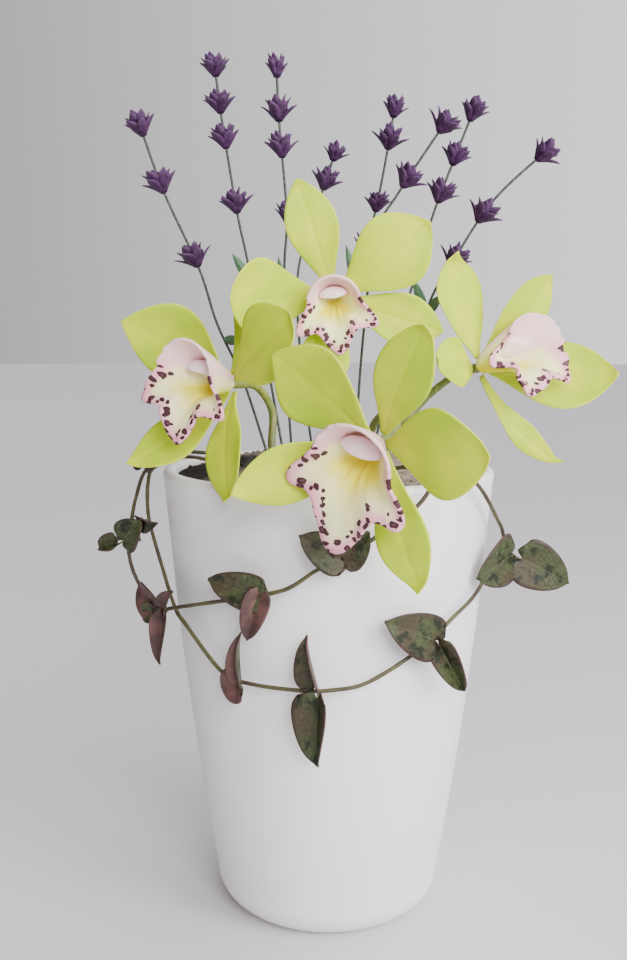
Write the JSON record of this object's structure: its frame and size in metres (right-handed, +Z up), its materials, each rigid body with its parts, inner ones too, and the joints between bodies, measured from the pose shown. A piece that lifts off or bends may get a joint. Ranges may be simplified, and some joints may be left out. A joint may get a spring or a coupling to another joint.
{
  "type": "potted orchid",
  "caption": "Green orchid blooms with pink lips, lavender sprigs and trailing heart-leaf vines, planted in a tapered white pot.",
  "frame": {"origin": "centre of the pot's underside, on the surface it stands on", "axes": "+Z up the pot's axis, -Y towards the front that the blooms face, +X to the viewer's right when seen from the front"},
  "size_m": [0.205, 0.1888, 0.3441],
  "materials": {
    "pot_glaze": "matte",
    "potting_mix": "matte",
    "green_tepal": "satin",
    "pink_lip": "satin",
    "pink_column": "satin",
    "orchid_stem": "satin",
    "lavender": "matte",
    "lavender_leaf": "satin",
    "vine": "matte",
    "vine_leaf": "satin"
  },
  "bodies": {
    "root": {"front_bloom_column": "pink_column", "front_bloom_dorsal_sepal": "green_tepal", "front_bloom_left_petal": "green_tepal", "front_bloom_left_sepal": "green_tepal", "front_bloom_lip": "pink_lip", "front_bloom_right_petal": "green_tepal", "front_bloom_right_sepal": "green_tepal", "front_bloom_stem": "orchid_stem", "lavender_sprig_1": "lavender", "lavender_sprig_2": "lavender", "lavender_sprig_3": "lavender", "lavender_sprig_4": "lavender", "lavender_sprig_5": "lavender", "lavender_sprig_6": "lavender", "lavender_sprig_7": "lavender", "lavender_sprig_8": "lavender", "leaf_pair_bottom": "vine_leaf", "leaf_pair_crossing": "vine_leaf", "leaf_pair_hanging": "vine_leaf", "leaf_pair_high": "vine_leaf", "leaf_pair_left": "vine_leaf", "leaf_pair_loop": "vine_leaf", "leaf_pair_low_left": "vine_leaf", "leaf_pair_low_right": "vine_leaf", "leaf_pair_mouth": "vine_leaf", "leaf_pair_right": "vine_leaf", "leaf_pair_shoulder": "vine_leaf", "left_bloom_column": "pink_column", "left_bloom_dorsal_sepal": "green_tepal", "left_bloom_left_petal": "green_tepal", "left_bloom_left_sepal": "green_tepal", "left_bloom_lip": "pink_lip", "left_bloom_right_petal": "green_tepal", "left_bloom_right_sepal": "green_tepal", "left_bloom_stem": "orchid_stem", "long_vine": "vine", "pot": "pot_glaze", "potting_mix": "potting_mix", "right_bloom_column": "pink_column", "right_bloom_dorsal_sepal": "green_tepal", "right_bloom_left_petal": "green_tepal", "right_bloom_left_sepal": "green_tepal", "right_bloom_lip": "pink_lip", "right_bloom_right_petal": "green_tepal", "right_bloom_right_sepal": "green_tepal", "right_bloom_stem": "orchid_stem", "short_vine": "vine", "sprig_1_leaf": "lavender_leaf", "sprig_2_leaf": "lavender_leaf", "sprig_3_leaf": "lavender_leaf", "sprig_5_leaf": "lavender_leaf", "sprig_8_leaves": "lavender_leaf", "top_bloom_column": "pink_column", "top_bloom_dorsal_sepal": "green_tepal", "top_bloom_left_petal": "green_tepal", "top_bloom_left_sepal": "green_tepal", "top_bloom_lip": "pink_lip", "top_bloom_right_petal": "green_tepal", "top_bloom_right_sepal": "green_tepal", "top_bloom_stem": "orchid_stem"}
  },
  "joints": []
}
